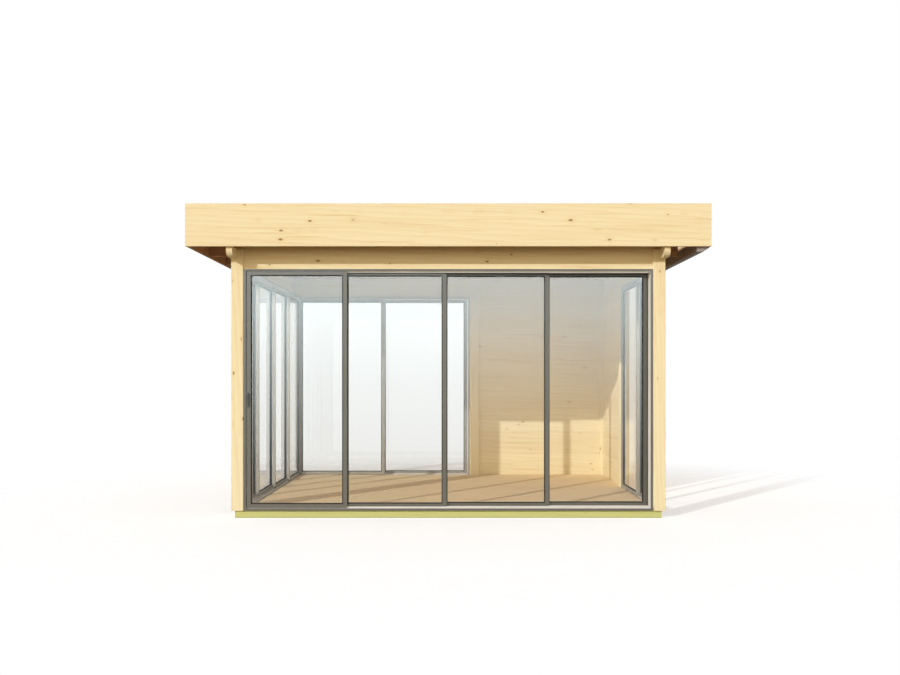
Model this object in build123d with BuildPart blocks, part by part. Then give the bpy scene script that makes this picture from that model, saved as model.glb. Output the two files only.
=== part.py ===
from build123d import *
import os
from collections import namedtuple

os.makedirs("parts", exist_ok=True)

# A flat-roofed garden cabin: posts, log infill and sliding glass walls.
# Millimetres. X runs to the right and Y to the back, seen from the front.
# The origin is on the ground, under the middle of the roof.

# Body, over the outer faces of the corner posts
body_width = 3800
body_depth = 3060

# Posts
post_size = 107
post_chamfer = 4

# Foundation beams, bearers and floor boards
foundation_height = 66
foundation_width = 120
foundation_chamfer = 5
bearer_width = 44
bearer_count = 5
floor_thickness = 22
floor_gap = 4

# Logs, let in behind the outer faces of the posts
wall_set_in = 28
log_thickness = 44
log_height = 134
log_groove = 4

# Glazed openings: their height, and where the glass walls stop
opening_height = 2115
rear_glass_end = 253
right_glass_end = 113

# Sliding glass walls: the fixed frame round the panels
frame_fit = 2
frame_set_in = 2
frame_base = 8
frame_lip = 20
head_lip = 15
lip_thickness = 3
frame_edge = 8

# The panels, one to a track
panel_thickness = 28
track_gap = 8
panel_clearance = 5
stile_width = 36
rail_width = 32
glass_thickness = 8
glass_bite = 8
front_meets = (-904, -33, 873)

# Rails under the panels and guides over them
rail_thickness = 3
groove_width = 13
sill_groove = 10
head_groove = 15
running_gap = 0.3

# Pulls on the leading panels
handle_width = 20
handle_length = 124
handle_thickness = 6
handle_height = 1035
handle_recess = 3
handle_rim = 5

# Beams that carry the roof
beam_thickness = 51
beam_height = 87
beam_reach = 195
beam_end_curve = 60
beam_nose = 27
header_chamfer = 5

# Roof
overhang_front = 230
overhang_side = 340
fascia_height = 366
fascia_thickness = 28
fascia_drop = 7
fascia_chamfer = 3
joist_thickness = 44
joist_height = 145
joist_count = 6
roof_fall = 55
deck_thickness = 18
deck_drip = 10
cover_thickness = 4

# Gutter on the low side, hung on the joist ends; its outer side leans out under the fascia
gutter_width = 87
gutter_floor = 56
gutter_height = 93
gutter_wall = 2
gutter_drop = 48
gutter_set_back = 10
gutter_rim_in = 4
gutter_rim_drop = 3

# Levels and lines that the pieces share
half_width = body_width / 2
half_depth = body_depth / 2
base_top = foundation_height
floor_top = base_top + floor_thickness
opening_top = base_top + opening_height
beam_bottom = opening_top + beam_height
beam_top = beam_bottom + beam_height
log_inner = wall_set_in + log_thickness
track_pitch = panel_thickness + track_gap
roof_half_width = half_width + overhang_side
roof_half_depth = half_depth + overhang_front
roof_inner_width = roof_half_width - fascia_thickness
roof_inner_depth = roof_half_depth - fascia_thickness
joist_end = roof_inner_width - gutter_width
post_line_x = half_width - post_size
post_line_y = half_depth - post_size
wall_outer_x = half_width - wall_set_in
wall_outer_y = half_depth - wall_set_in
wall_inner_x = half_width - log_inner
wall_inner_y = half_depth - log_inner


def save(piece, name):
    """Label a finished piece and write its file."""
    piece.label = name
    export_step(piece, f"parts/{name}.step")


def block(x_span, y_span, z_span, mode=Mode.ADD):
    """A rectangular solid between two limits each way, in the part that is being built."""
    spans = (x_span, y_span, z_span)
    with Locations(tuple(sum(span) / 2 for span in spans)):
        Box(*(span[1] - span[0] for span in spans), mode=mode)


# Foundation: end beams over the whole width, side beams between them
bearer_y = wall_outer_y - foundation_width

for side, sign in (("front", -1), ("rear", 1)):
    with BuildPart() as end_beam:
        with Locations((0, sign * (wall_outer_y - foundation_width / 2), base_top / 2)):
            Box(2 * wall_outer_x, foundation_width, foundation_height)
        chamfer(end_beam.edges().filter_by(Axis.X), foundation_chamfer)
    save(end_beam.part, f"{side}_foundation_beam")

with BuildPart() as side_beams_low:
    for sign in (-1, 1):
        with Locations((sign * (wall_outer_x - foundation_width / 2), 0, base_top / 2)):
            Box(foundation_width, 2 * bearer_y, foundation_height)
    chamfer(side_beams_low.edges().filter_by(Axis.Y), foundation_chamfer)
save(side_beams_low.part, "side_foundation_beams")

bearer_spacing = 2 * (wall_outer_x - foundation_width) / (bearer_count + 1)
with BuildPart() as floor_bearers:
    with GridLocations(bearer_spacing, 0, bearer_count, 1):
        with Locations((0, 0, base_top / 2)):
            Box(bearer_width, 2 * bearer_y, foundation_height)
save(floor_bearers.part, "floor_bearers")

# Glass walls, each drawn on the outer face of its frame, seen from outside.
# turn is 1 where the panels open to the right, and -1 where they open to the left.
Wall = namedtuple("Wall", "name plane width tracks meets turn")


def frame_depth(tracks):
    """Depth of a frame with a number of tracks."""
    return 2 * frame_edge + tracks * panel_thickness + (tracks - 1) * track_gap


def even_meets(width, panels):
    """Middles of the overlaps of panels that are all equally wide."""
    clear = width - 2 * (frame_fit + frame_lip + panel_clearance)
    step = (clear - stile_width) / panels
    return tuple(step * (number - panels / 2) for number in range(1, panels))


def wall_face(tracks, half_size):
    """Distance of a frame's outer face from the middle: a shallow frame is centred in the posts."""
    return half_size - max(frame_set_in, (post_size - frame_depth(tracks)) / 2)


full_track_count = 4
half_track_count = 2
left_start = wall_face(full_track_count, half_depth) - frame_depth(full_track_count)
front_opening = 2 * post_line_x
left_opening = left_start + post_line_y
rear_opening = rear_glass_end + post_line_x
right_opening = right_glass_end + post_line_y
front_origin = (0, -wall_face(full_track_count, half_depth), 0)
left_origin = (-wall_face(full_track_count, half_width), post_line_y - left_opening / 2, 0)
rear_origin = (rear_glass_end - rear_opening / 2, wall_face(half_track_count, half_depth), 0)
right_origin = (wall_face(half_track_count, half_width), right_glass_end - right_opening / 2, 0)
front_plane = Plane(origin=front_origin, x_dir=(1, 0, 0), z_dir=(0, -1, 0))
left_plane = Plane(origin=left_origin, x_dir=(0, -1, 0), z_dir=(-1, 0, 0))
rear_plane = Plane(origin=rear_origin, x_dir=(-1, 0, 0), z_dir=(0, 1, 0))
right_plane = Plane(origin=right_origin, x_dir=(0, 1, 0), z_dir=(1, 0, 0))
left_meets = even_meets(left_opening, full_track_count)
rear_meets = even_meets(rear_opening, half_track_count)
right_meets = even_meets(right_opening, half_track_count)

walls = (
    Wall("front", front_plane, front_opening, full_track_count, front_meets, 1),
    Wall("left", left_plane, left_opening, full_track_count, left_meets, -1),
    Wall("rear", rear_plane, rear_opening, half_track_count, rear_meets, 1),
    Wall("right", right_plane, right_opening, half_track_count, right_meets, 1),
)


def upright(width, bottom, top, mode=Mode.ADD, centre=0):
    """A rectangle between two levels, on the face of a wall."""
    with Locations((centre, (bottom + top) / 2)):
        Rectangle(width, top - bottom, mode=mode)


def track_depth(number):
    """Depth of the outer face of the panel on a track."""
    return frame_edge + number * track_pitch


panel_bottom = base_top + frame_lip + panel_clearance
panel_top = opening_top - head_lip - panel_clearance
sight_bottom = panel_bottom + rail_width
sight_top = panel_top - rail_width
rail_top = panel_bottom + sill_groove - running_gap
guide_bottom = panel_top - head_groove + panel_clearance


def wall_frame(wall):
    """The fixed frame: a ring with lips between its tracks, rails below and guides above."""
    width = wall.width - 2 * frame_fit
    depth = frame_depth(wall.tracks)
    dividers = [track_depth(n) - (track_gap + lip_thickness) / 2 for n in range(1, wall.tracks)]
    with BuildPart() as frame:
        with BuildSketch(wall.plane):
            upright(width, base_top, opening_top)
            upright(width - 2 * frame_base, base_top + frame_base, opening_top - frame_base, Mode.SUBTRACT)
        extrude(amount=-depth)
        for start in [0, *dividers, depth - lip_thickness]:
            with BuildSketch(wall.plane.offset(-start)):
                upright(width, base_top, opening_top)
                upright(width - 2 * frame_lip, base_top + frame_lip, opening_top - head_lip, Mode.SUBTRACT)
            extrude(amount=-lip_thickness)
        for number in range(wall.tracks):
            middle = track_depth(number) + panel_thickness / 2
            with BuildSketch(wall.plane.offset(-middle + rail_thickness / 2)):
                upright(width - 2 * frame_base, base_top + frame_base, rail_top)
                upright(width - 2 * frame_base, guide_bottom, opening_top - frame_base)
            extrude(amount=-rail_thickness)
    save(frame.part, f"{wall.name}_door_frame")


def panel_spans(wall):
    """The two ends of each panel, the leading and outermost one first."""
    half = wall.width / 2 - frame_fit - frame_lip - panel_clearance
    lap = stile_width / 2
    starts = [-half, *(meet - lap for meet in wall.meets)]
    ends = [*(meet + lap for meet in wall.meets), half]
    return [sorted((wall.turn * start, wall.turn * end)) for start, end in zip(starts, ends)]


def panel_frame(wall, number, span):
    """Stiles and rails of one panel, grooved for its glass, its rail and its guide."""
    width = span[1] - span[0]
    centre = (span[0] + span[1]) / 2
    depth = track_depth(number)
    with BuildPart() as panel:
        with BuildSketch(wall.plane.offset(-depth)):
            upright(width, panel_bottom, panel_top, centre=centre)
            upright(width - 2 * stile_width, sight_bottom, sight_top, Mode.SUBTRACT, centre)
        extrude(amount=-panel_thickness)
        glass_face = depth + (panel_thickness - glass_thickness) / 2
        with BuildSketch(wall.plane.offset(-glass_face)):
            glass_outline(width, centre)
        extrude(amount=-glass_thickness, mode=Mode.SUBTRACT)
        groove_face = depth + (panel_thickness - groove_width) / 2
        with BuildSketch(wall.plane.offset(-groove_face)):
            upright(width, panel_bottom, panel_bottom + sill_groove, centre=centre)
            upright(width, panel_top - head_groove, panel_top, centre=centre)
        extrude(amount=-groove_width, mode=Mode.SUBTRACT)
    return panel.part


def glass_outline(width, centre):
    """Outline of a panel's glass, which reaches into the grooves of its frame."""
    reach = 2 * (stile_width - glass_bite)
    upright(width - reach, sight_bottom - glass_bite, sight_top + glass_bite, centre=centre)


def panel_glass(wall, number, span):
    """The sheet of glass of one panel."""
    glass_face = track_depth(number) + (panel_thickness - glass_thickness) / 2
    with BuildPart() as glass:
        with BuildSketch(wall.plane.offset(-glass_face)):
            glass_outline(span[1] - span[0], (span[0] + span[1]) / 2)
        extrude(amount=-glass_thickness)
    return glass.part


def panel_handle(wall, span):
    """A slim recessed pull on the leading stile of the outermost panel."""
    leading = span[0] if wall.turn > 0 else span[1]
    centre = leading + wall.turn * stile_width / 2
    face = wall.plane.offset(handle_thickness - frame_edge)
    with BuildPart() as handle:
        with BuildSketch(face):
            with Locations((centre, handle_height)):
                SlotOverall(handle_length, handle_width, rotation=90)
        extrude(amount=-handle_thickness)
        with BuildSketch(face):
            with Locations((centre, handle_height)):
                SlotOverall(handle_length - 2 * handle_rim, handle_width - 2 * handle_rim, rotation=90)
        extrude(amount=-handle_recess, mode=Mode.SUBTRACT)
    return handle.part


fixed_panes = []
for wall in walls:
    wall_frame(wall)
    spans = panel_spans(wall)
    for number, span in enumerate(spans):
        label = number + 1
        save(panel_frame(wall, number, span), f"{wall.name}_panel_{label}")
        pane = panel_glass(wall, number, span)
        if label < len(spans):
            save(pane, f"{wall.name}_glass_{label}")
        else:
            fixed_panes.append(pane)
    save(panel_handle(wall, spans[0]), f"{wall.name}_handle")
save(Compound(children=fixed_panes), "fixed_glass")

# Posts: the corner ones are notched on the outside for the side beams
notch_line = half_width - beam_thickness


def corner_post(side_x, side_y):
    """A corner post, cut back on its outer face to seat the beam that passes over it."""
    x_span = sorted((side_x * half_width, side_x * (half_width - post_size)))
    y_span = sorted((side_y * half_depth, side_y * (half_depth - post_size)))
    with BuildPart() as post:
        block(x_span, y_span, (base_top, beam_top))
        chamfer(post.edges().filter_by(Axis.Z), post_chamfer)
        beam_x = sorted((side_x * notch_line, side_x * half_width))
        block(beam_x, y_span, (beam_bottom, beam_top), Mode.SUBTRACT)
    return post.part


for name_y, side_y in (("front", -1), ("rear", 1)):
    for name_x, side_x in (("left", -1), ("right", 1)):
        save(corner_post(side_x, side_y), f"{name_y}_{name_x}_post")

rear_wall_start = rear_glass_end + post_size
right_wall_start = right_glass_end + post_size
middle_posts = (
    ("rear_middle_post", (rear_glass_end, rear_wall_start), (post_line_y, half_depth)),
    ("right_middle_post", (post_line_x, half_width), (right_glass_end, right_wall_start)),
)
for name, x_span, y_span in middle_posts:
    with BuildPart() as middle_post:
        block(x_span, y_span, (base_top, opening_top))
        chamfer(middle_post.edges().filter_by(Axis.Z), post_chamfer)
    save(middle_post.part, name)

# The left glass wall starts behind the deep front frame; a strip fills in to the post
with BuildPart() as left_jamb_strip:
    block((-half_width, -post_line_x), (-post_line_y, -left_start), (base_top, opening_top))
save(left_jamb_strip.part, "left_jamb_strip")

# Floor boards, laid between the frames, the posts and the logs
floor_x = wall_inner_x - floor_gap
floor_y = wall_inner_y - floor_gap
post_cut = post_size + 2 * floor_gap
with BuildPart() as floor_boards:
    with BuildSketch(Plane.XY.offset(base_top)):
        Rectangle(2 * floor_x, 2 * floor_y)
        with GridLocations(body_width - post_size, body_depth - post_size, 2, 2):
            Rectangle(post_cut, post_cut, mode=Mode.SUBTRACT)
        with Locations(*(((x[0] + x[1]) / 2, (y[0] + y[1]) / 2) for name, x, y in middle_posts)):
            Rectangle(post_cut, post_cut, mode=Mode.SUBTRACT)
        with Locations((-half_width + post_size / 2, -(post_line_y + left_start) / 2)):
            Rectangle(post_cut, post_line_y - left_start + 2 * floor_gap, mode=Mode.SUBTRACT)
        for wall in walls:
            reach = 2 * (frame_depth(wall.tracks) + floor_gap)
            along = wall.width + 2 * floor_gap
            faces_y = wall.name in ("front", "rear")
            with Locations((wall.plane.origin.X, wall.plane.origin.Y)):
                Rectangle(*((along, reach) if faces_y else (reach, along)), mode=Mode.SUBTRACT)
    extrude(amount=floor_thickness)
save(floor_boards.part, "floor_boards")


def log_section(top):
    """Section of a log wall: stacked courses with a vee at each joint, on both faces."""
    upright(log_thickness, base_top, top)
    joints = int((top - base_top) / log_height)
    for number in range(1, joints + 1):
        level = base_top + number * log_height
        with Locations((-log_thickness / 2, level), (log_thickness / 2, level)):
            Rectangle(log_groove, log_groove, rotation=45, mode=Mode.SUBTRACT)


log_centre = wall_set_in + log_thickness / 2
rear_wall_plane = Plane(
    origin=(rear_wall_start, half_depth - log_centre, 0), x_dir=(0, 1, 0), z_dir=(1, 0, 0)
)
with BuildPart() as rear_log_wall:
    with BuildSketch(rear_wall_plane):
        log_section(beam_top)
    extrude(amount=post_line_x - rear_wall_start)
save(rear_log_wall.part, "rear_log_wall")

right_wall_plane = Plane(
    origin=(half_width - log_centre, right_wall_start, 0), x_dir=(-1, 0, 0), z_dir=(0, 1, 0)
)
with BuildPart() as right_log_wall:
    with BuildSketch(right_wall_plane):
        log_section(beam_bottom)
    extrude(amount=post_line_y - right_wall_start)
save(right_log_wall.part, "right_log_wall")

# Headers over the glass walls, in line with the logs
front_line = (-wall_outer_y, -wall_inner_y)
rear_line = (wall_inner_y, wall_outer_y)
left_line = (-wall_outer_x, -wall_inner_x)
right_line = (wall_inner_x, wall_outer_x)

header_spans = (
    ("front_header", (-post_line_x, post_line_x), front_line, beam_top),
    ("rear_header", (-post_line_x, rear_wall_start), rear_line, beam_top),
    ("left_header", left_line, (-post_line_y, post_line_y), beam_bottom),
    ("right_header", right_line, (-post_line_y, right_wall_start), beam_bottom),
)
for name, x_span, y_span, top in header_spans:
    with BuildPart() as header:
        block(x_span, y_span, (opening_top, top))
        along = Axis.X if x_span[1] - x_span[0] > y_span[1] - y_span[0] else Axis.Y
        chamfer(header.edges().filter_by(along).group_by(Axis.Z)[0], header_chamfer)
    save(header.part, name)

# Side beams: they pass over the posts and end in a curve under the overhang
beam_end = half_depth + beam_reach
for side, sign in (("left", -1), ("right", 1)):
    face_x = sorted((sign * half_width, sign * notch_line))[0]
    with BuildPart() as side_beam:
        with BuildSketch(Plane(origin=(face_x, 0, 0), x_dir=(0, 1, 0), z_dir=(1, 0, 0))):
            with BuildLine():
                curve_start = beam_end - beam_end_curve
                base = Line((0, beam_bottom), (curve_start, beam_bottom))
                nose = TangentArc(base @ 1, (beam_end, beam_top - beam_nose), tangent=base % 1)
                Polyline(nose @ 1, (beam_end, beam_top), (0, beam_top), (0, beam_bottom))
            make_face()
            mirror(about=Plane.YZ)
        extrude(amount=beam_thickness)
    save(side_beam.part, f"{side}_roof_beam")

# Roof joists: level below, with a fall to the right above
fall_slope = roof_fall / (2 * roof_inner_width)


def joist_top(x):
    """Level of the top of the joists, which falls from left to right."""
    return beam_top + joist_height - (x + roof_inner_width) * fall_slope


def under_roof(x_span, y_span):
    """A piece that stands on the beams and ends against the sloping roof boards."""
    low_x, high_x = x_span
    with BuildPart() as piece:
        with BuildSketch(Plane(origin=(0, y_span[0], 0), x_dir=(1, 0, 0), z_dir=(0, -1, 0))):
            with BuildLine():
                Polyline(
                    (low_x, beam_top),
                    (high_x, beam_top),
                    (high_x, joist_top(high_x)),
                    (low_x, joist_top(low_x)),
                    close=True,
                )
            make_face()
        extrude(amount=y_span[0] - y_span[1])
    return piece.part


joist_spacing = (2 * roof_inner_depth - joist_thickness) / (joist_count - 1)
joist_starts = [-roof_inner_depth + number * joist_spacing for number in range(joist_count)]
joist_span = (-roof_inner_width, joist_end)
joists = [under_roof(joist_span, (start, start + joist_thickness)) for start in joist_starts]
save(Compound(children=joists), "roof_joists")

# Closing boards: they fill the space between the walls and the roof boards
closing_boards = [under_roof((-wall_outer_x, wall_outer_x), line) for line in (front_line, rear_line)]
inner_starts = joist_starts[1:-1]
bay_starts = [-wall_inner_y, *(start + joist_thickness for start in inner_starts)]
bay_ends = [*inner_starts, wall_inner_y]
for line in (left_line, right_line):
    closing_boards += [under_roof(line, bay) for bay in zip(bay_starts, bay_ends)]
save(Compound(children=closing_boards), "closing_boards")


def roof_layer(bottom, top):
    """A layer that lies along the joists, from one height over them to another."""
    start_x = -roof_inner_width
    end_x = joist_end + deck_drip
    with BuildPart() as layer:
        with BuildSketch(Plane(origin=(0, roof_inner_depth, 0), x_dir=(1, 0, 0), z_dir=(0, -1, 0))):
            with BuildLine():
                Polyline(
                    (start_x, joist_top(start_x) + bottom),
                    (end_x, joist_top(end_x) + bottom),
                    (end_x, joist_top(end_x) + top),
                    (start_x, joist_top(start_x) + top),
                    close=True,
                )
            make_face()
        extrude(amount=2 * roof_inner_depth)
    return layer.part


save(roof_layer(0, deck_thickness), "roof_boards")
save(roof_layer(deck_thickness, deck_thickness + cover_thickness), "roof_cover")

# Fascia boards: front and rear over the whole width, the sides between them
fascia_bottom = beam_top - fascia_drop
fascia_span = (fascia_bottom, fascia_bottom + fascia_height)
end_fascia_x = (-roof_half_width, roof_half_width)
side_fascia_y = (-roof_inner_depth, roof_inner_depth)
fascias = (
    ("front_fascia", end_fascia_x, (-roof_half_depth, -roof_inner_depth), Axis.X, Axis.Y, 0),
    ("rear_fascia", end_fascia_x, (roof_inner_depth, roof_half_depth), Axis.X, Axis.Y, -1),
    ("left_fascia", (-roof_half_width, -roof_inner_width), side_fascia_y, Axis.Y, Axis.X, 0),
    ("right_fascia", (roof_inner_width, roof_half_width), side_fascia_y, Axis.Y, Axis.X, -1),
)
for name, x_span, y_span, along, outward, outermost in fascias:
    with BuildPart() as fascia:
        block(x_span, y_span, fascia_span)
        chamfer(fascia.edges().filter_by(along).group_by(outward)[outermost], fascia_chamfer)
    save(fascia.part, name)

# Gutter: an open channel with closed ends and a leaning outer side
gutter_bottom = beam_top - gutter_drop
gutter_end = roof_inner_depth - gutter_set_back
with BuildPart() as gutter:
    with BuildSketch(Plane(origin=(0, -gutter_end, 0), x_dir=(1, 0, 0), z_dir=(0, -1, 0))):
        with BuildLine():
            Polyline(
                (joist_end, gutter_bottom + gutter_height),
                (joist_end, gutter_bottom),
                (joist_end + gutter_floor, gutter_bottom),
                (roof_half_width - gutter_rim_in, fascia_bottom - gutter_rim_drop),
                close=True,
            )
        make_face()
    extrude(amount=-2 * gutter_end)
    offset(amount=-gutter_wall, openings=gutter.faces().sort_by(Axis.Z)[-1])
    fascia_foot = (fascia_bottom, gutter_bottom + gutter_height)
    block((roof_inner_width, roof_half_width), (-gutter_end, gutter_end), fascia_foot, Mode.SUBTRACT)
save(gutter.part, "gutter")
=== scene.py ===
import math

import bmesh
import bpy
from bpy.props import FloatProperty, FloatVectorProperty, PointerProperty
from bpy.types import Operator, Panel, PropertyGroup
from mathutils import Matrix, Vector


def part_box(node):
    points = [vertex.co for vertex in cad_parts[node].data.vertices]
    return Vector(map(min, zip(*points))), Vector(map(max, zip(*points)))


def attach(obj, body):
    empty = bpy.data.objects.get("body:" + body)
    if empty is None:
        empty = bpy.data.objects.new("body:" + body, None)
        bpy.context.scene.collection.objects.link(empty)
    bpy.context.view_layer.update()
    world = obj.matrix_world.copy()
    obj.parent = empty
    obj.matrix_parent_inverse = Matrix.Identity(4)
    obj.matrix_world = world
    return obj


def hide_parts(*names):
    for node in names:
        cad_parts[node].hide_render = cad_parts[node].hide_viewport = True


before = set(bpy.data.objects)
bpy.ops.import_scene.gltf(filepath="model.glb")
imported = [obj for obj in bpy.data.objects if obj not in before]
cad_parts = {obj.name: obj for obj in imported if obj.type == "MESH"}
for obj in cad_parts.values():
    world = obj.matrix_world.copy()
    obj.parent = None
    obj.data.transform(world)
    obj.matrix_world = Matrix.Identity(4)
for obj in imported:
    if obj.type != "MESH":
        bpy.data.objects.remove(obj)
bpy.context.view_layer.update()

bl_info = {
    "name": "Garden cabin finish",
    "version": (1, 0, 0),
    "blender": (4, 5, 0),
    "location": "View3D > Sidebar > Cabin",
    "description": "Finishes a flat-roofed timber cabin with sliding glass walls",
    "category": "Object",
}

# Each glass wall: the axis that it runs along and the way that it faces on the other one
GLASS_WALLS = {
    "front": ("X", -1),
    "left": ("Y", -1),
    "rear": ("X", 1),
    "right": ("Y", 1),
}
FIXED_BODY = "cabin"
WHITE = (1.0, 1.0, 1.0, 1.0)
# Open joint between two boards, and how far a board's tone may go towards late wood
BOARD_JOINT = 0.0004
BOARD_TONE = 0.22
# Share of the sun and the daylight that glass holds back
GLASS_SHADE = 0.03
# The camera stands in front of the middle of the roof and looks level
EYE_HEIGHT = 1.221
EYE_DISTANCE = 9.93
SENSOR_WIDTH = 36.0
LENS = 38.42
LENS_SHIFT = (0.0019, 0.0458)
SUN_TRAVEL = Vector((0.784, 1.0, -0.473))
SUN_STRENGTH = 1.84
SUN_SPREAD = math.radians(0.6)
# The pale floor: its drop under the cabin, its glow to the camera and through glass, and where it
# fades, as shares of its radius
STAGE_DROP = 0.0005
STAGE_GLOW = 0.42
STAGE_GLOW_GLASS = 0.22
STAGE_FADE = (0.3, 0.62)
# Sky ahead of the cabin as its glass mirrors it: span of the upward direction, steps, tint and
# the brightness of a step of 1
SKY_SPAN = (-0.13, 0.10)
SKY_STEPS = (
    (0.0, 0.04),
    (0.17, 0.09),
    (0.35, 0.22),
    (0.56, 0.40),
    (0.74, 0.62),
    (0.87, 0.80),
    (1.0, 0.89),
)
SKY_TINT = (0.82, 0.97, 1.00)
SKY_STRENGTH = 7.0
# How much of that sky the coatings mirror: span of the upward direction, and shares at its ends
SATIN_SPAN = (0.10, 0.45)
SATIN_SHARES = (0.34, 0.85)
# What shows through the glass: span of the upward direction, and greys at its ends
BACKDROP_SPAN = (-0.10, 0.10)
BACKDROP_GREYS = (1.0, 0.76)
# Light in the reflections behind the front sheet of glass, told by how many faces a ray passed
DEEP_FACES = 2.5
DEEP_LIGHT = (1.0, 1.03, 1.05, 1.0)
# Brightest daylight that the colour ramp can give
DAYLIGHT_STRENGTH = 2.5
# Daylight on the cabin, by the upward direction that it comes from
DAYLIGHT = (
    (-0.06, (0.25, 0.15, 0.06)),
    (0.0, (1.92, 1.55, 1.03)),
    (0.22, (1.92, 1.55, 1.03)),
    (0.32, (0.76, 0.71, 0.62)),
    (0.52, (0.76, 0.71, 0.62)),
    (0.72, (0.20, 0.20, 0.25)),
)


def length(label, text, value):
    """A length that a user may change."""
    return FloatProperty(name=label, description=text, default=value, unit="LENGTH")


class CabinSizes(PropertyGroup):
    """Sizes of what is laid or fitted on the frame."""

    floor_board: length("Floor board width", "Face width of one floor board", 0.096)
    roof_board: length("Roof board width", "Face width of one roof board", 0.121)
    board_edge: length("Board edge", "Bevel along a board's edges", 0.002)
    log_height: length("Log height", "Height of one course of logs", 0.134)
    log_start: length("First log", "Level where the lowest log starts", 0.066)
    gasket_width: length("Gasket width", "Width of the black glazing gasket", 0.008)
    gasket_recess: length("Gasket recess", "Depth of the gasket behind the frame's face", 0.0012)
    stile_width: length("Stile width", "Width of the upright bars of a panel", 0.036)
    rail_width: length("Rail width", "Width of the level bars of a panel", 0.032)
    glass_thickness: length("Glass thickness", "Thickness of a sheet of glass", 0.008)
    stage_radius: length("Floor radius", "Radius of the pale floor", 9.0)


def colour(label, text, value):
    """A colour that a user may change."""
    return FloatVectorProperty(
        name=label, description=text, default=value, min=0.0, max=1.0, size=3, subtype="COLOR"
    )


class CabinColours(PropertyGroup):
    """Colours of the timber, metal and rubber."""

    spruce: colour("Spruce", "Early wood of the planed timber", (0.885, 0.805, 0.550))
    spruce_dark: colour("Spruce late wood", "Late wood of the planed timber", (0.73, 0.55, 0.27))
    knot: colour("Knot", "Heart of a knot", (0.30, 0.14, 0.05))
    treated: colour("Treated timber", "Pressure-treated timber", (0.615, 0.635, 0.267))
    treated_dark: colour("Treated late wood", "Late wood of treated timber", (0.52, 0.52, 0.21))
    floor: colour("Floor boards", "Early wood of the floor", (0.98, 0.81, 0.53))
    floor_dark: colour("Floor late wood", "Late wood of the floor", (0.90, 0.68, 0.40))
    # Painted shade: the roof timber is darker and redder than the spruce so that it reads as the shade
    # under the roof
    roof: colour("Roof timber", "Stained timber under the roof", (0.56, 0.36, 0.24))
    roof_dark: colour("Roof late wood", "Late wood of the roof timber", (0.39, 0.22, 0.13))
    coat: colour("Frame coating", "Outer coating of stiles, rails and frames", (0.086, 0.069, 0.045))
    # The inner coating is lighter than the outer one: partly the coating's own tone and partly painted
    # reflection over the frames behind the glass
    inner_coat_and_reflection: colour("Inner coating", "Coating that faces the room", (0.34, 0.32, 0.27))
    track: colour("Track", "Bare metal inside the tracks", (0.70, 0.68, 0.64))
    gutter: colour("Gutter", "Coating of the gutter", (0.30, 0.26, 0.25))
    rubber: colour("Rubber", "Gaskets and roof cover", (0.020, 0.019, 0.017))
    handle: colour("Pull", "Coating of the pulls", (0.030, 0.029, 0.027))
    glass: colour("Glass", "Tint of the glass", (0.945, 0.940, 0.925))


class Wiring:
    """Places and joins the nodes of one tree."""

    def __init__(self, tree):
        self.tree = tree

    def node(self, kind, **settings):
        """A new node with its settings."""
        made = self.tree.nodes.new(kind)
        for name, value in settings.items():
            setattr(made, name, value)
        return made

    def feed(self, socket, value):
        """Link a socket, or set its value where a plain one is given."""
        if isinstance(value, bpy.types.NodeSocket):
            self.tree.links.new(value, socket)
        elif value is not None:
            socket.default_value = value

    def number(self, operation, first, second=None, third=None):
        """A math node's result."""
        made = self.node("ShaderNodeMath", operation=operation)
        for socket, value in zip(made.inputs, (first, second, third)):
            self.feed(socket, value)
        return made.outputs[0]

    def ramp(self, value, low, high, start=0.0, end=1.0):
        """A smooth step of a value between two limits."""
        made = self.node("ShaderNodeMapRange", interpolation_type="SMOOTHSTEP")
        for socket, given in zip(made.inputs, (value, low, high, start, end)):
            self.feed(socket, given)
        return made.outputs[0]

    def between(self, value, low, high, start, end):
        """A value moved in a straight line from one range to another."""
        made = self.node("ShaderNodeMapRange")
        for socket, given in zip(made.inputs, (value, low, high, start, end)):
            self.feed(socket, given)
        return made.outputs[0]

    def colours(self, value, steps, strength):
        """A run of colours along a value, brightened by a strength."""
        run = self.node("ShaderNodeValToRGB")
        self.feed(run.inputs[0], value)
        stops = run.color_ramp.elements
        stops.remove(stops[1])
        stops[0].position = steps[0][0]
        stops[0].color = (*steps[0][1], 1.0)
        for position, shade in steps[1:]:
            stops.new(position).color = (*shade, 1.0)
        bright = self.node("ShaderNodeVectorMath", operation="SCALE")
        self.feed(bright.inputs[0], run.outputs[0])
        self.feed(bright.inputs["Scale"], strength)
        return bright.outputs[0]

    def mix(self, factor, first, second, kind="MIX"):
        """Two colours mixed."""
        made = self.node("ShaderNodeMix", data_type="RGBA", blend_type=kind)
        self.feed(made.inputs[0], factor)
        self.feed(made.inputs[6], first)
        self.feed(made.inputs[7], second)
        return made.outputs[2]

    def stretch(self, vector, scale):
        """A vector multiplied along each axis."""
        made = self.node("ShaderNodeVectorMath", operation="MULTIPLY")
        self.feed(made.inputs[0], vector)
        self.feed(made.inputs[1], scale)
        return made.outputs[0]

    def noise(self, vector, scale, detail=2.0, distortion=0.0):
        """The value of a noise texture."""
        made = self.node("ShaderNodeTexNoise")
        settings = {"Vector": vector, "Scale": scale, "Detail": detail, "Distortion": distortion}
        for name, value in settings.items():
            self.feed(made.inputs[name], value)
        return made.outputs[0]


def node_group(name, inputs, outputs):
    """A shader node group with named sockets, and the wiring inside it."""
    group = bpy.data.node_groups.new(name, "ShaderNodeTree")
    for direction, sockets in (("INPUT", inputs), ("OUTPUT", outputs)):
        for label, kind, default in sockets:
            socket = group.interface.new_socket(label, in_out=direction, socket_type=f"NodeSocket{kind}")
            if default is not None:
                socket.default_value = default
    wiring = Wiring(group)
    start = wiring.node("NodeGroupInput")
    end = wiring.node("NodeGroupOutput")
    return wiring, start.outputs, end.inputs


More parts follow.
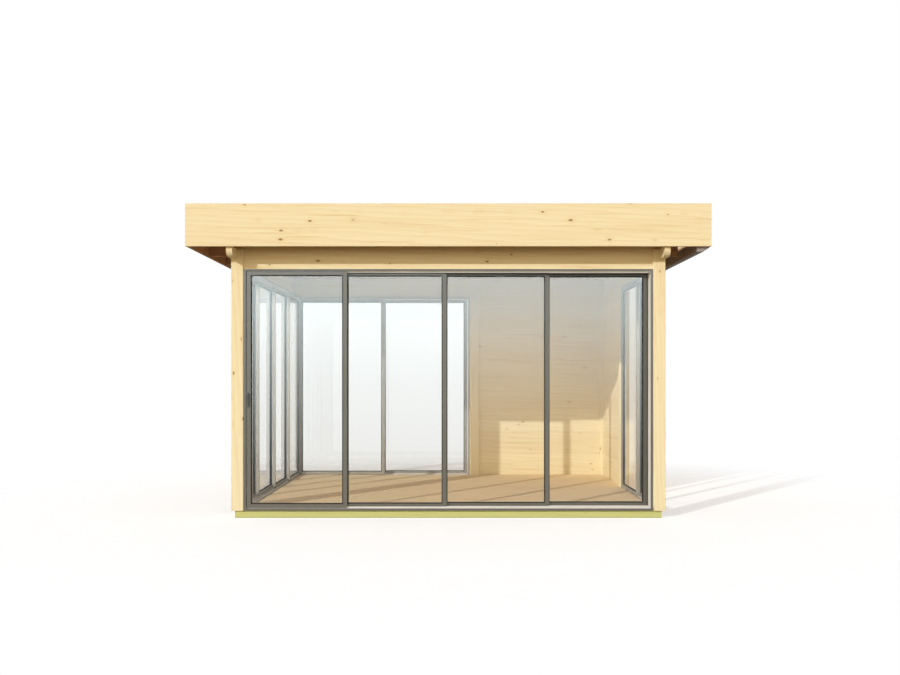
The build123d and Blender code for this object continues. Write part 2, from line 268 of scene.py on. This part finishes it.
def timber_group():
    """Planed softwood: long fine streaks and faint rings along X, and small oval knots."""
    wiring, given, result = node_group(
        "planed_timber",
        (
            ("Vector", "Vector", None),
            ("Early Wood", "Color", None),
            ("Late Wood", "Color", None),
            ("Knot", "Color", None),
            ("Knot Size", "Float", 0.011),
        ),
        (("Color", "Color", None), ("Roughness", "Float", None), ("Height", "Float", None)),
    )
    vector = given["Vector"]
    knot_spacing = 0.078
    knots = wiring.node("ShaderNodeTexVoronoi")
    wiring.feed(knots.inputs["Vector"], wiring.stretch(vector, (0.5, 1.0, 1.0)))
    wiring.feed(knots.inputs["Scale"], 1 / knot_spacing)
    reach = wiring.number("MULTIPLY", knots.outputs["Distance"], knot_spacing)
    chance = wiring.ramp(knots.outputs["Color"], 0.3, 0.9, 0.1, 1.3)
    size = wiring.number("MULTIPLY", given["Knot Size"], chance)
    heart = wiring.ramp(reach, wiring.number("MULTIPLY", size, 0.3), size, 0.9, 0.0)
    halo = wiring.ramp(reach, 0.0, wiring.number("MULTIPLY", size, 3.4), 1.0, 0.0)
    bend = wiring.node("ShaderNodeCombineXYZ")
    for axis, distance in (("Y", 0.010), ("Z", 0.007)):
        wiring.feed(bend.inputs[axis], wiring.number("MULTIPLY", halo, distance))
    round_knots = wiring.node("ShaderNodeVectorMath", operation="ADD")
    wiring.feed(round_knots.inputs[0], vector)
    wiring.feed(round_knots.inputs[1], bend.outputs[0])
    bent = round_knots.outputs[0]
    streaks = wiring.noise(wiring.stretch(bent, (1.1, 66.0, 66.0)), 1.0, 3.0)
    patches = wiring.noise(wiring.stretch(bent, (0.7, 9.0, 9.0)), 1.0, 4.0, 0.5)
    threads = wiring.noise(wiring.stretch(bent, (0.9, 130.0, 110.0)), 1.0, 2.0)
    fibres = wiring.noise(wiring.stretch(vector, (5.0, 190.0, 190.0)), 1.6, 3.0)
    rings = wiring.node(
        "ShaderNodeTexWave", wave_type="BANDS", bands_direction="DIAGONAL", wave_profile="SAW"
    )
    wiring.feed(rings.inputs["Vector"], wiring.stretch(bent, (0.05, 1.0, 0.8)))
    for name, value in (("Scale", 13.0), ("Distortion", 5.0), ("Detail", 2.0), ("Detail Scale", 1.0)):
        wiring.feed(rings.inputs[name], value)
    ring_lines = wiring.number("POWER", rings.outputs[1], 2.4)
    # Each mark in the grain, and how much late wood it brings
    marks = (
        (ring_lines, 0.25),
        (wiring.ramp(streaks, 0.58, 0.72), 0.50),
        (wiring.ramp(patches, 0.45, 0.78), 0.20),
        (wiring.ramp(threads, 0.66, 0.74), 0.70),
        (halo, 0.25),
    )
    late = 0.0
    for mark, share in marks:
        late = wiring.number("MULTIPLY_ADD", mark, share, late)
    late = wiring.number("MINIMUM", late, 1.0)
    face = wiring.mix(late, given["Early Wood"], given["Late Wood"])
    fuzz = wiring.number("MULTIPLY", wiring.ramp(fibres, 0.45, 0.8), 0.14)
    face = wiring.mix(fuzz, face, given["Late Wood"])
    wiring.feed(result["Color"], wiring.mix(heart, face, given["Knot"]))
    wiring.feed(result["Roughness"], wiring.ramp(fibres, 0.2, 0.8, 0.52, 0.72))
    relief = wiring.number("MULTIPLY_ADD", ring_lines, -0.25, fibres)
    wiring.feed(result["Height"], wiring.number("MULTIPLY_ADD", heart, -0.6, relief))
    return wiring.tree


def board_group():
    """Gives each board or log its own tone and its own stretch of grain."""
    wiring, given, result = node_group(
        "board_by_board",
        (("Vector", "Vector", None), ("Width", "Float", 0.1), ("Start", "Float", 0.0)),
        (("Vector", "Vector", None), ("Tone", "Float", None)),
    )
    parts = wiring.node("ShaderNodeSeparateXYZ")
    wiring.feed(parts.inputs[0], given["Vector"])
    across = wiring.number("SUBTRACT", parts.outputs["Y"], given["Start"])
    index = wiring.number("FLOOR", wiring.number("DIVIDE", across, given["Width"]))
    chance = wiring.node("ShaderNodeTexWhiteNoise", noise_dimensions="1D")
    wiring.feed(chance.inputs["W"], index)
    shift = wiring.node("ShaderNodeVectorMath", operation="MULTIPLY_ADD")
    wiring.feed(shift.inputs[0], chance.outputs["Color"])
    wiring.feed(shift.inputs[1], (19.0, 0.9, 0.7))
    wiring.feed(shift.inputs[2], given["Vector"])
    wiring.feed(result["Vector"], shift.outputs[0])
    wiring.feed(result["Tone"], chance.outputs["Value"])
    return wiring.tree


def coating_group():
    """Powder coating or mill metal: faint clouding, fine grain and uneven gloss."""
    wiring, given, result = node_group(
        "satin_coating",
        (
            ("Vector", "Vector", None),
            ("Coating", "Color", None),
            ("Gloss", "Float", 0.35),
            ("Mottle", "Float", 0.1),
        ),
        (("Color", "Color", None), ("Roughness", "Float", None), ("Height", "Float", None)),
    )
    vector = given["Vector"]
    cloud = wiring.noise(vector, 3.5, 4.0)
    grain = wiring.noise(vector, 900.0, 2.0)
    shade = wiring.ramp(cloud, 0.25, 0.75, 0.0, given["Mottle"])
    darker = wiring.mix(1.0, given["Coating"], (0.62, 0.62, 0.64, 1.0), "MULTIPLY")
    wiring.feed(result["Color"], wiring.mix(shade, given["Coating"], darker))
    wiring.feed(result["Roughness"], wiring.number("MULTIPLY_ADD", cloud, 0.14, given["Gloss"]))
    wiring.feed(result["Height"], grain)
    return wiring.tree


def between_group():
    """A mask that is 1 between two levels of one value."""
    wiring, given, result = node_group(
        "between_levels",
        (("Value", "Float", 0.0), ("Low", "Float", 0.0), ("High", "Float", 1.0)),
        (("Mask", "Float", None),),
    )
    above = wiring.number("GREATER_THAN", given["Value"], given["Low"])
    below = wiring.number("LESS_THAN", given["Value"], given["High"])
    wiring.feed(result["Mask"], wiring.number("MULTIPLY", above, below))
    return wiring.tree


GROUPS = {}


def group_node(wiring, name, **inputs):
    """One of the shared groups, placed in a material with its own values."""
    if name not in GROUPS:
        makers = {
            "timber": timber_group,
            "board": board_group,
            "coating": coating_group,
            "between": between_group,
        }
        GROUPS[name] = makers[name]()
    made = wiring.node("ShaderNodeGroup", node_tree=GROUPS[name])
    for label, value in inputs.items():
        wiring.feed(made.inputs[label.replace("_", " ").title()], value)
    return made.outputs


def new_material(name, **constants):
    """A material with its Principled shader, set by the names of the sockets."""
    material = bpy.data.materials.new(name)
    material.use_nodes = True
    wiring = Wiring(material.node_tree)
    shader = material.node_tree.nodes["Principled BSDF"]
    for label, value in constants.items():
        shader.inputs[label.replace("_", " ")].default_value = value
    return material, wiring, shader


def bump(wiring, shader, height, strength, distance):
    """A bump on the shader's normal."""
    relief = wiring.node("ShaderNodeBump")
    relief.inputs["Strength"].default_value = strength
    relief.inputs["Distance"].default_value = distance
    wiring.feed(relief.inputs["Height"], height)
    wiring.feed(shader.inputs["Normal"], relief.outputs[0])


def along(wiring, order):
    """Coordinates of the object in a given order, so that the grain runs along the first."""
    place = wiring.node("ShaderNodeTexCoord")
    parts = wiring.node("ShaderNodeSeparateXYZ")
    wiring.feed(parts.inputs[0], place.outputs["Object"])
    turned = wiring.node("ShaderNodeCombineXYZ")
    for socket, axis in zip(turned.inputs, order):
        wiring.feed(socket, parts.outputs[axis])
    return turned.outputs[0]


def rgba(value):
    """A colour with full opacity."""
    return (*value, 1.0)


def timber_material(name, order, early, late, knot, knot_size=0.011, board=None, painted_shade=None):
    """A timber finish whose grain runs along the first axis of order.

    board is (width, start). The last argument is (colour, level, reach) and paints shade: timber below
    the level and nearer to the middle than the reach takes that colour.
    """
    material, wiring, shader = new_material(name, Specular_IOR_Level=0.0)
    vector = along(wiring, order)
    tone = None
    if board:
        boards = group_node(wiring, "board", vector=vector, width=board[0], start=board[1])
        vector = boards["Vector"]
        tone = boards["Tone"]
    wood = group_node(
        wiring,
        "timber",
        vector=vector,
        early_wood=rgba(early),
        late_wood=rgba(late),
        knot=rgba(knot),
        knot_size=knot_size,
    )
    face = wood["Color"]
    if tone is not None:
        face = wiring.mix(wiring.number("MULTIPLY", tone, BOARD_TONE), face, rgba(late))
    # Painted shade: timber below the level and within the reach takes the given dark colour
    if painted_shade:
        shade, level, reach = painted_shade
        parts = wiring.node("ShaderNodeSeparateXYZ")
        wiring.feed(parts.inputs[0], along(wiring, "XYZ"))
        within = group_node(wiring, "between", value=parts.outputs["X"], low=-reach, high=reach)["Mask"]
        below = wiring.number("LESS_THAN", parts.outputs["Z"], level)
        face = wiring.mix(wiring.number("MULTIPLY", within, below), face, rgba(shade))
    wiring.feed(shader.inputs["Base Color"], face)
    wiring.feed(shader.inputs["Roughness"], wood["Roughness"])
    bump(wiring, shader, wood["Height"], 0.2, 0.0006)
    return material


def two_sided(wiring, wall, outside, inside):
    """One coating on the faces that look out of a wall, and another on those that face the room."""
    axis, facing = GLASS_WALLS[wall]
    outward = [0.0, 0.0, 0.0]
    outward[1 if axis == "X" else 0] = float(facing)
    face = wiring.node("ShaderNodeNewGeometry")
    turn = wiring.node("ShaderNodeVectorMath", operation="DOT_PRODUCT")
    wiring.feed(turn.inputs[0], face.outputs["True Normal"])
    wiring.feed(turn.inputs[1], outward)
    # Faces square to the wall count as outer ones on the front, and as inner ones elsewhere, where they
    # take the lighter coating with its painted reflection
    limit = -0.5 if wall == "front" else 0.5
    looks_out = wiring.number("GREATER_THAN", turn.outputs["Value"], limit)
    return wiring.mix(looks_out, rgba(inside), rgba(outside))


def coated_material(name, coating, gloss, mottle, specular=0.5, wall=None, inside=None):
    """A coated finish. A wall and an inner coating make it two-sided."""
    material, wiring, shader = new_material(name, Specular_IOR_Level=specular)
    place = wiring.node("ShaderNodeTexCoord")
    shade = two_sided(wiring, wall, coating, inside) if wall else rgba(coating)
    coat = group_node(
        wiring, "coating", vector=place.outputs["Object"], coating=shade, gloss=gloss, mottle=mottle
    )
    wiring.feed(shader.inputs["Base Color"], coat["Color"])
    wiring.feed(shader.inputs["Roughness"], coat["Roughness"])
    bump(wiring, shader, coat["Height"], 0.06, 0.0002)
    return material


def frame_material(wall, colours):
    """A wall's fixed frame: coated lips, and bare metal in the tracks between them."""
    axis, _ = GLASS_WALLS[wall]
    low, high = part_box(f"{wall}_door_frame")
    across = 1 if axis == "X" else 0
    # Just past the outermost lips, which are 3 mm thick
    lip = 0.0032
    material, wiring, shader = new_material(f"{wall}_frame_finish", Specular_IOR_Level=1.0)
    place = wiring.node("ShaderNodeTexCoord").outputs["Object"]
    parts = wiring.node("ShaderNodeSeparateXYZ")
    wiring.feed(parts.inputs[0], place)
    mask = group_node(
        wiring, "between", value=parts.outputs[across], low=low[across] + lip, high=high[across] - lip
    )["Mask"]
    # The lighter inner coating partly paints reflection
    shade = two_sided(wiring, wall, colours.coat, colours.inner_coat_and_reflection)
    coat = group_node(wiring, "coating", vector=place, coating=shade, gloss=0.33, mottle=0.2)
    track = rgba(colours.track)
    bare = group_node(wiring, "coating", vector=place, coating=track, gloss=0.38, mottle=0.3)
    wiring.feed(shader.inputs["Base Color"], wiring.mix(mask, coat["Color"], bare["Color"]))
    wiring.feed(shader.inputs["Roughness"], coat["Roughness"])
    bump(wiring, shader, coat["Height"], 0.06, 0.0002)
    return material


def glass_material(colours):
    """Clear toughened glass that lets nearly all the sun and daylight pass straight through."""
    material, wiring, shader = new_material(
        "clear_glass", Roughness=0.0, IOR=1.5, Transmission_Weight=1.0, Base_Color=rgba(colours.glass)
    )
    path = wiring.node("ShaderNodeLightPath")
    passing = wiring.number("MAXIMUM", path.outputs["Is Shadow Ray"], path.outputs["Is Diffuse Ray"])
    cover = wiring.number("MULTIPLY_ADD", passing, GLASS_SHADE - 1.0, 1.0)
    wiring.feed(shader.inputs["Alpha"], cover)
    return material


def wear(names, material):
    """Give a finish to CAD nodes, in their own slots."""
    for name in names:
        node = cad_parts[name]
        if not node.material_slots:
            node.data.materials.append(material)
        for slot in node.material_slots:
            slot.material = material


def piece_from(bm, name, material, body):
    """An object from a finished bmesh, riding on a body."""
    mesh = bpy.data.meshes.new(name)
    bmesh.ops.recalc_face_normals(bm, faces=bm.faces)
    bm.to_mesh(mesh)
    bm.free()
    piece = bpy.data.objects.new(name, mesh)
    bpy.context.scene.collection.objects.link(piece)
    mesh.materials.append(material)
    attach(piece, body)
    return piece


def bevelled_board(bm, length_span, across_span, height_span, edge, place=None):
    """A board along X with small bevels on its four long edges."""
    (a0, a1), (b0, b1) = across_span, height_span
    outline = (
        (a0 + edge, b0),
        (a1 - edge, b0),
        (a1, b0 + edge),
        (a1, b1 - edge),
        (a1 - edge, b1),
        (a0 + edge, b1),
        (a0, b1 - edge),
        (a0, b0 + edge),
    )
    ends = []
    for x in length_span:
        corners = [Vector((x, a, b)) for a, b in outline]
        if place is not None:
            corners = [place @ corner for corner in corners]
        ends.append([bm.verts.new(corner) for corner in corners])
    bm.faces.new(ends[0])
    bm.faces.new(reversed(ends[1]))
    for n, following in enumerate([*range(1, len(outline)), 0]):
        bm.faces.new((ends[0][n], ends[1][n], ends[1][following], ends[0][following]))


class CABIN_OT_timber(Operator):
    """Finish the posts, beams, logs, fascia and foundation"""

    bl_idname = "cabin.timber"
    bl_label = "Timber"

    def execute(self, context):
        colours = context.scene.cabin_colours
        sizes = context.scene.cabin_sizes
        spruce = (colours.spruce, colours.spruce_dark, colours.knot)
        treated = (colours.treated, colours.treated_dark, colours.knot)
        across = timber_material("spruce_across", "XZY", *spruce)
        deep = timber_material("spruce_deep", "YZX", *spruce)
        upright = timber_material("spruce_upright", "ZXY", *spruce, knot_size=0.010)
        courses = (sizes.log_height, sizes.log_start)
        log_knot = 0.008
        logs_across = timber_material("logs_across", "XZY", *spruce, knot_size=log_knot, board=courses)
        logs_deep = timber_material("logs_deep", "YZX", *spruce, knot_size=log_knot, board=courses)
        # Painted shade: the joists take the dark roof-timber colours
        roof = (colours.roof, colours.roof_dark, colours.roof_dark)
        # Painted shade: behind their outer face and its chamfer, the side fascias take the colour of the
        # roof boards
        outer_face = 0.0035
        shade_rise = 0.02
        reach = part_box("right_fascia")[1].x - outer_face
        fascia_shade = (colours.roof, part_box("roof_boards")[0].z + shade_rise, reach)
        side_fascia = timber_material("spruce_side_fascia", "YZX", *spruce, painted_shade=fascia_shade)
        finishes = {
            side_fascia: ("left_fascia", "right_fascia"),
            across: ("front_fascia", "rear_fascia", "front_header", "rear_header", "closing_boards"),
            deep: ("left_header", "right_header", "left_roof_beam", "right_roof_beam"),
            upright: [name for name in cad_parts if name.endswith(("_post", "_jamb_strip"))],
            logs_across: ("rear_log_wall",),
            logs_deep: ("right_log_wall",),
            timber_material("treated_across", "XZY", *treated, knot_size=0.008): (
                "front_foundation_beam",
                "rear_foundation_beam",
            ),
            timber_material("treated_deep", "YZX", *treated, knot_size=0.008): (
                "side_foundation_beams",
                "floor_bearers",
            ),
            timber_material("roof_joist_timber", "XZY", *roof): ("roof_joists",),
        }
        for material, names in finishes.items():
            wear(names, material)
        return {"FINISHED"}


class CABIN_OT_floor(Operator):
    """Lay the floor boards inside the outline of the floor"""

    bl_idname = "cabin.floor"
    bl_label = "Floor boards"

    def execute(self, context):
        colours = context.scene.cabin_colours
        sizes = context.scene.cabin_sizes
        low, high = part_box("floor_boards")
        width = sizes.floor_board
        material = timber_material(
            "floor_finish",
            "XYZ",
            colours.floor,
            colours.floor_dark,
            colours.knot,
            knot_size=0.009,
            board=(width, low.y),
        )
        bm = bmesh.new()
        rows = math.ceil((high.y - low.y) / width)
        for row in range(rows):
            start = low.y + row * width
            end = min(start + width, high.y)
            across = (start, end - BOARD_JOINT)
            bevelled_board(bm, (low.x, high.x), across, (low.z, high.z), sizes.board_edge)
        boards = piece_from(bm, "laid_floor", material, FIXED_BODY)
        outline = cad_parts["floor_boards"].copy()
        outline.data = outline.data.copy()
        outline.parent = None
        # Stretched in height, the outline trims only the ends and edges of the boards
        stretch = 1.5
        middle = (low.z + high.z) / 2
        for corner in outline.data.vertices:
            corner.co.z = middle + (corner.co.z - middle) * stretch
        context.scene.collection.objects.link(outline)
        cut = boards.modifiers.new("outline", "BOOLEAN")
        cut.operation = "INTERSECT"
        cut.solver = "EXACT"
        cut.object = outline
        context.view_layer.update()
        evaluated = boards.evaluated_get(context.evaluated_depsgraph_get())
        trimmed = bpy.data.meshes.new_from_object(evaluated)
        boards.modifiers.clear()
        boards.data = trimmed
        bpy.data.objects.remove(outline)
        if len(trimmed.polygons) < rows:
            raise RuntimeError("the floor boards were lost in the trim")
        trimmed.materials.clear()
        trimmed.materials.append(material)
        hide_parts("floor_boards")
        return {"FINISHED"}


class CABIN_OT_roof(Operator):
    """Lay the roof boards on the sloping joists and finish the cover and the gutter"""

    bl_idname = "cabin.roof"
    bl_label = "Roof boards, cover and gutter"

    def execute(self, context):
        colours = context.scene.cabin_colours
        sizes = context.scene.cabin_sizes
        low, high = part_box("roof_boards")
        width = sizes.roof_board
        # Painted shade: the roof boards take the dark roof-timber colours
        material = timber_material(
            "roof_board_timber",
            "YXZ",
            colours.roof,
            colours.roof_dark,
            colours.roof_dark,
            board=(width, low.x),
        )
        corners = [vertex.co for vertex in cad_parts["roof_boards"].data.vertices]
        touching = 0.001
        left = [corner.z for corner in corners if abs(corner.x - low.x) < touching]
        right = [corner.z for corner in corners if abs(corner.x - high.x) < touching]
        run = high.x - low.x
        slope = (min(left) - min(right)) / run
        thickness = max(left) - min(left)
        # Boards are drawn along X, and this lays them along Y on the fall of the joists
        turn = Matrix(((0, 1, 0, low.x), (1, 0, 0, 0), (0, -slope, 1, min(left)), (0, 0, 0, 1)))
        edge = sizes.board_edge * 2
        bm = bmesh.new()
        for row in range(math.ceil(run / width)):
            start = row * width
            end = min(start + width, run)
            across = (start, end - BOARD_JOINT)
            bevelled_board(bm, (low.y, high.y), across, (0.0, thickness), edge, turn)
        boards = piece_from(bm, "laid_roof_boards", material, FIXED_BODY)
        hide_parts("roof_boards")
        rubber = coated_material("roof_rubber", colours.rubber, gloss=0.7, mottle=0.5, specular=0.1)
        wear(("roof_cover",), rubber)
        wear(("gutter",), coated_material("gutter_coating", colours.gutter, gloss=0.35, mottle=0.2))
        return {"FINISHED"}


class CABIN_OT_metalwork(Operator):
    """Finish the frames, the stiles and rails, and the pulls"""

    bl_idname = "cabin.metalwork"
    bl_label = "Frames and panels"

    def execute(self, context):
        colours = context.scene.cabin_colours
        pull = coated_material("pull_coating", colours.handle, gloss=0.40, mottle=0.2)
        wear([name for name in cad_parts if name.endswith("_handle")], pull)
        for wall in GLASS_WALLS:
            wear((f"{wall}_door_frame",), frame_material(wall, colours))
            # The lighter inner coating partly paints reflection
            stile = coated_material(
                f"{wall}_stile_coating",
                colours.coat,
                gloss=0.33,
                mottle=0.25,
                specular=1.0,
                wall=wall,
                inside=colours.inner_coat_and_reflection,
            )
            wear([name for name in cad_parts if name.startswith(f"{wall}_panel_")], stile)
        return {"FINISHED"}


def panel_gasket(wall, number, body, sizes, material):
    """The black gaskets on both faces of one panel's glass, mitred at the corners."""
    axis, _ = GLASS_WALLS[wall]
    run, depth = (0, 1) if axis == "X" else (1, 0)
    low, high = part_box(f"{wall}_panel_{number}")
    stile, rail, width = sizes.stile_width, sizes.rail_width, sizes.gasket_width
    outer = (low[run] + stile, high[run] - stile, low.z + rail, high.z - rail)
    inner = (outer[0] + width, outer[1] - width, outer[2] + width, outer[3] - width)
    middle = (low[depth] + high[depth]) / 2
    bm = bmesh.new()
    for side in (-1, 1):
        near = middle + side * sizes.glass_thickness / 2
        far = (low[depth] if side < 0 else high[depth]) - side * sizes.gasket_recess
        rings = []
        for u0, u1, z0, z1 in (outer, inner):
            for level in (near, far):
                ring = []
                for u, z in ((u0, z0), (u1, z0), (u1, z1), (u0, z1)):
                    place = [0.0, 0.0, z]
                    place[run] = u
                    place[depth] = level
                    ring.append(bm.verts.new(place))
                rings.append(ring)
        outer_near, outer_far, inner_near, inner_far = rings
        for n in range(4):
            m = (n + 1) % 4
            for a, b in (
                (outer_near, outer_far),
                (outer_far, inner_far),
                (inner_far, inner_near),
                (inner_near, outer_near),
            ):
                bm.faces.new((a[n], a[m], b[m], b[n]))
    return piece_from(bm, f"{wall}_gasket_{number}", material, body)


class CABIN_OT_glazing(Operator):
    """Finish the glass and fit its gaskets"""

    bl_idname = "cabin.glazing"
    bl_label = "Glass and gaskets"

    def execute(self, context):
        colours = context.scene.cabin_colours
        sizes = context.scene.cabin_sizes
        glass = glass_material(colours)
        wear([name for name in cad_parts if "_glass_" in name or name == "fixed_glass"], glass)
        rubber = coated_material("gasket_rubber", colours.rubber, gloss=0.6, mottle=0.2, specular=0.15)
        for wall in GLASS_WALLS:
            panels = [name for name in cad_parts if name.startswith(f"{wall}_panel_")]
            for number in range(1, len(panels) + 1):
                body = f"{wall}_panel_{number}" if number < len(panels) else FIXED_BODY
                panel_gasket(wall, number, body, sizes, rubber)
        return {"FINISHED"}


def stage_material(radius):
    """A pale floor that fades out into the white around it."""
    material, wiring, shader = new_material(
        "pale_floor", Roughness=0.9, Specular_IOR_Level=0.0, Emission_Color=WHITE
    )
    place = wiring.node("ShaderNodeTexCoord")
    path = wiring.node("ShaderNodeLightPath")
    distance = wiring.node("ShaderNodeVectorMath", operation="LENGTH")
    wiring.feed(distance.inputs[0], place.outputs["Object"])
    tint = wiring.noise(place.outputs["Object"], 0.6, 2.0)
    pale = wiring.mix(tint, (0.88, 0.90, 0.93, 1.0), (0.91, 0.93, 0.96, 1.0))
    thrown_back = (0.34, 0.33, 0.31, 1.0)
    shade = wiring.mix(path.outputs["Is Diffuse Ray"], pale, thrown_back)
    wiring.feed(shader.inputs["Base Color"], shade)
    glow = wiring.number("MULTIPLY", path.outputs["Is Camera Ray"], STAGE_GLOW)
    glow = wiring.number("MULTIPLY_ADD", path.outputs["Is Transmission Ray"], STAGE_GLOW_GLASS, glow)
    wiring.feed(shader.inputs["Emission Strength"], glow)
    inner, outer = (radius * share for share in STAGE_FADE)
    wiring.feed(shader.inputs["Alpha"], wiring.ramp(distance.outputs["Value"], inner, outer, 1.0, 0.0))
    return material


class CABIN_OT_stage(Operator):
    """Set the pale floor, the sun, the daylight and the camera"""

    bl_idname = "cabin.stage"
    bl_label = "Floor, light and camera"

    def execute(self, context):
        sizes = context.scene.cabin_sizes
        bm = bmesh.new()
        bmesh.ops.create_circle(bm, cap_ends=True, segments=96, radius=sizes.stage_radius)
        mesh = bpy.data.meshes.new("stage_floor")
        bm.to_mesh(mesh)
        bm.free()
        mesh.materials.append(stage_material(sizes.stage_radius))
        floor = bpy.data.objects.new("stage_floor", mesh)
        context.scene.collection.objects.link(floor)
        floor.location.z = -STAGE_DROP

        sun_light = bpy.data.lights.new("sun", "SUN")
        sun_light.energy = SUN_STRENGTH
        sun_light.angle = SUN_SPREAD
        sun = bpy.data.objects.new("sun", sun_light)
        sun.rotation_euler = SUN_TRAVEL.to_track_quat("-Z", "Y").to_euler()
        context.scene.collection.objects.link(sun)

        self.daylight(context)

        camera_data = bpy.data.cameras.new("photo_camera")
        camera_data.sensor_width = SENSOR_WIDTH
        camera_data.lens = LENS
        camera_data.shift_x, camera_data.shift_y = LENS_SHIFT
        camera_data.clip_end = 200.0
        camera = bpy.data.objects.new("photo_camera", camera_data)
        camera.location = (0.0, -EYE_DISTANCE, EYE_HEIGHT)
        camera.rotation_euler = (math.radians(90.0), 0.0, 0.0)
        context.scene.collection.objects.link(camera)
        context.scene.camera = camera
        context.scene.view_settings.view_transform = "Standard"
        return {"FINISHED"}

    def daylight(self, context):
        """White behind the cabin, soft light on it, and a sky that only glass and coatings mirror."""
        world = bpy.data.worlds.new("daylight")
        context.scene.world = world
        world.use_nodes = True
        wiring = Wiring(world.node_tree)
        backdrop = world.node_tree.nodes["Background"]
        place = wiring.node("ShaderNodeTexCoord")
        parts = wiring.node("ShaderNodeSeparateXYZ")
        wiring.feed(parts.inputs[0], place.outputs["Generated"])
        rise = parts.outputs["Z"]
        path = wiring.node("ShaderNodeLightPath")
        steps = [(low, tuple(value * tint for tint in SKY_TINT)) for low, value in SKY_STEPS]
        sky = wiring.colours(wiring.between(rise, *SKY_SPAN, 0.0, 1.0), steps, SKY_STRENGTH)
        steps = [
            ((level + 1) / 2, tuple(value / DAYLIGHT_STRENGTH for value in light))
            for level, light in DAYLIGHT
        ]
        soft = wiring.colours(wiring.between(rise, -1.0, 1.0, 0.0, 1.0), steps, DAYLIGHT_STRENGTH)
        plain = wiring.between(rise, *BACKDROP_SPAN, *BACKDROP_GREYS)
        ahead = wiring.number("LESS_THAN", parts.outputs["Y"], 0.0)
        mirrored = wiring.number("GREATER_THAN", path.outputs["Glossy Depth"], 0.5)
        ahead = wiring.number("MULTIPLY", ahead, mirrored)
        glossy = path.outputs["Is Glossy Ray"]
        glazed = wiring.number("MULTIPLY", glossy, path.outputs["Is Singular Ray"])
        glazed = wiring.number("MAXIMUM", path.outputs["Is Transmission Ray"], glazed)
        satin = wiring.node("ShaderNodeVectorMath", operation="SCALE")
        wiring.feed(satin.inputs[0], sky)
        wiring.feed(satin.inputs["Scale"], wiring.between(rise, *SATIN_SPAN, *SATIN_SHARES))
        light = wiring.mix(glossy, soft, satin.outputs[0])
        deep = wiring.number("GREATER_THAN", path.outputs["Transmission Depth"], DEEP_FACES)
        sky = wiring.mix(deep, sky, DEEP_LIGHT)
        light = wiring.mix(glazed, light, wiring.mix(ahead, plain, sky))
        light = wiring.mix(path.outputs["Is Camera Ray"], light, WHITE)
        wiring.feed(backdrop.inputs["Color"], light)


class CABIN_PT_sidebar(Panel):
    """Lists the sizes, the colours and the steps"""

    bl_idname = "CABIN_PT_sidebar"
    bl_label = "Garden cabin"
    bl_space_type = "VIEW_3D"
    bl_region_type = "UI"
    bl_category = "Cabin"

    def draw(self, context):
        layout = self.layout
        for group in (context.scene.cabin_sizes, context.scene.cabin_colours):
            for name in group.bl_rna.properties.keys():
                if name not in ("rna_type", "name"):
                    layout.prop(group, name)
        for step in STEPS:
            layout.operator(step.bl_idname)


STEPS = (
    CABIN_OT_stage,
    CABIN_OT_timber,
    CABIN_OT_floor,
    CABIN_OT_roof,
    CABIN_OT_metalwork,
    CABIN_OT_glazing,
)
CLASSES = (CabinSizes, CabinColours, *STEPS, CABIN_PT_sidebar)


def register():
    for item in CLASSES:
        bpy.utils.register_class(item)
    bpy.types.Scene.cabin_sizes = PointerProperty(type=CabinSizes)
    bpy.types.Scene.cabin_colours = PointerProperty(type=CabinColours)


def unregister():
    del bpy.types.Scene.cabin_colours
    del bpy.types.Scene.cabin_sizes
    for item in reversed(CLASSES):
        bpy.utils.unregister_class(item)


def main():
    register()
    bpy.ops.cabin.stage()
    bpy.ops.cabin.timber()
    bpy.ops.cabin.floor()
    bpy.ops.cabin.roof()
    bpy.ops.cabin.metalwork()
    bpy.ops.cabin.glazing()


if __name__ == "__main__":
    main()
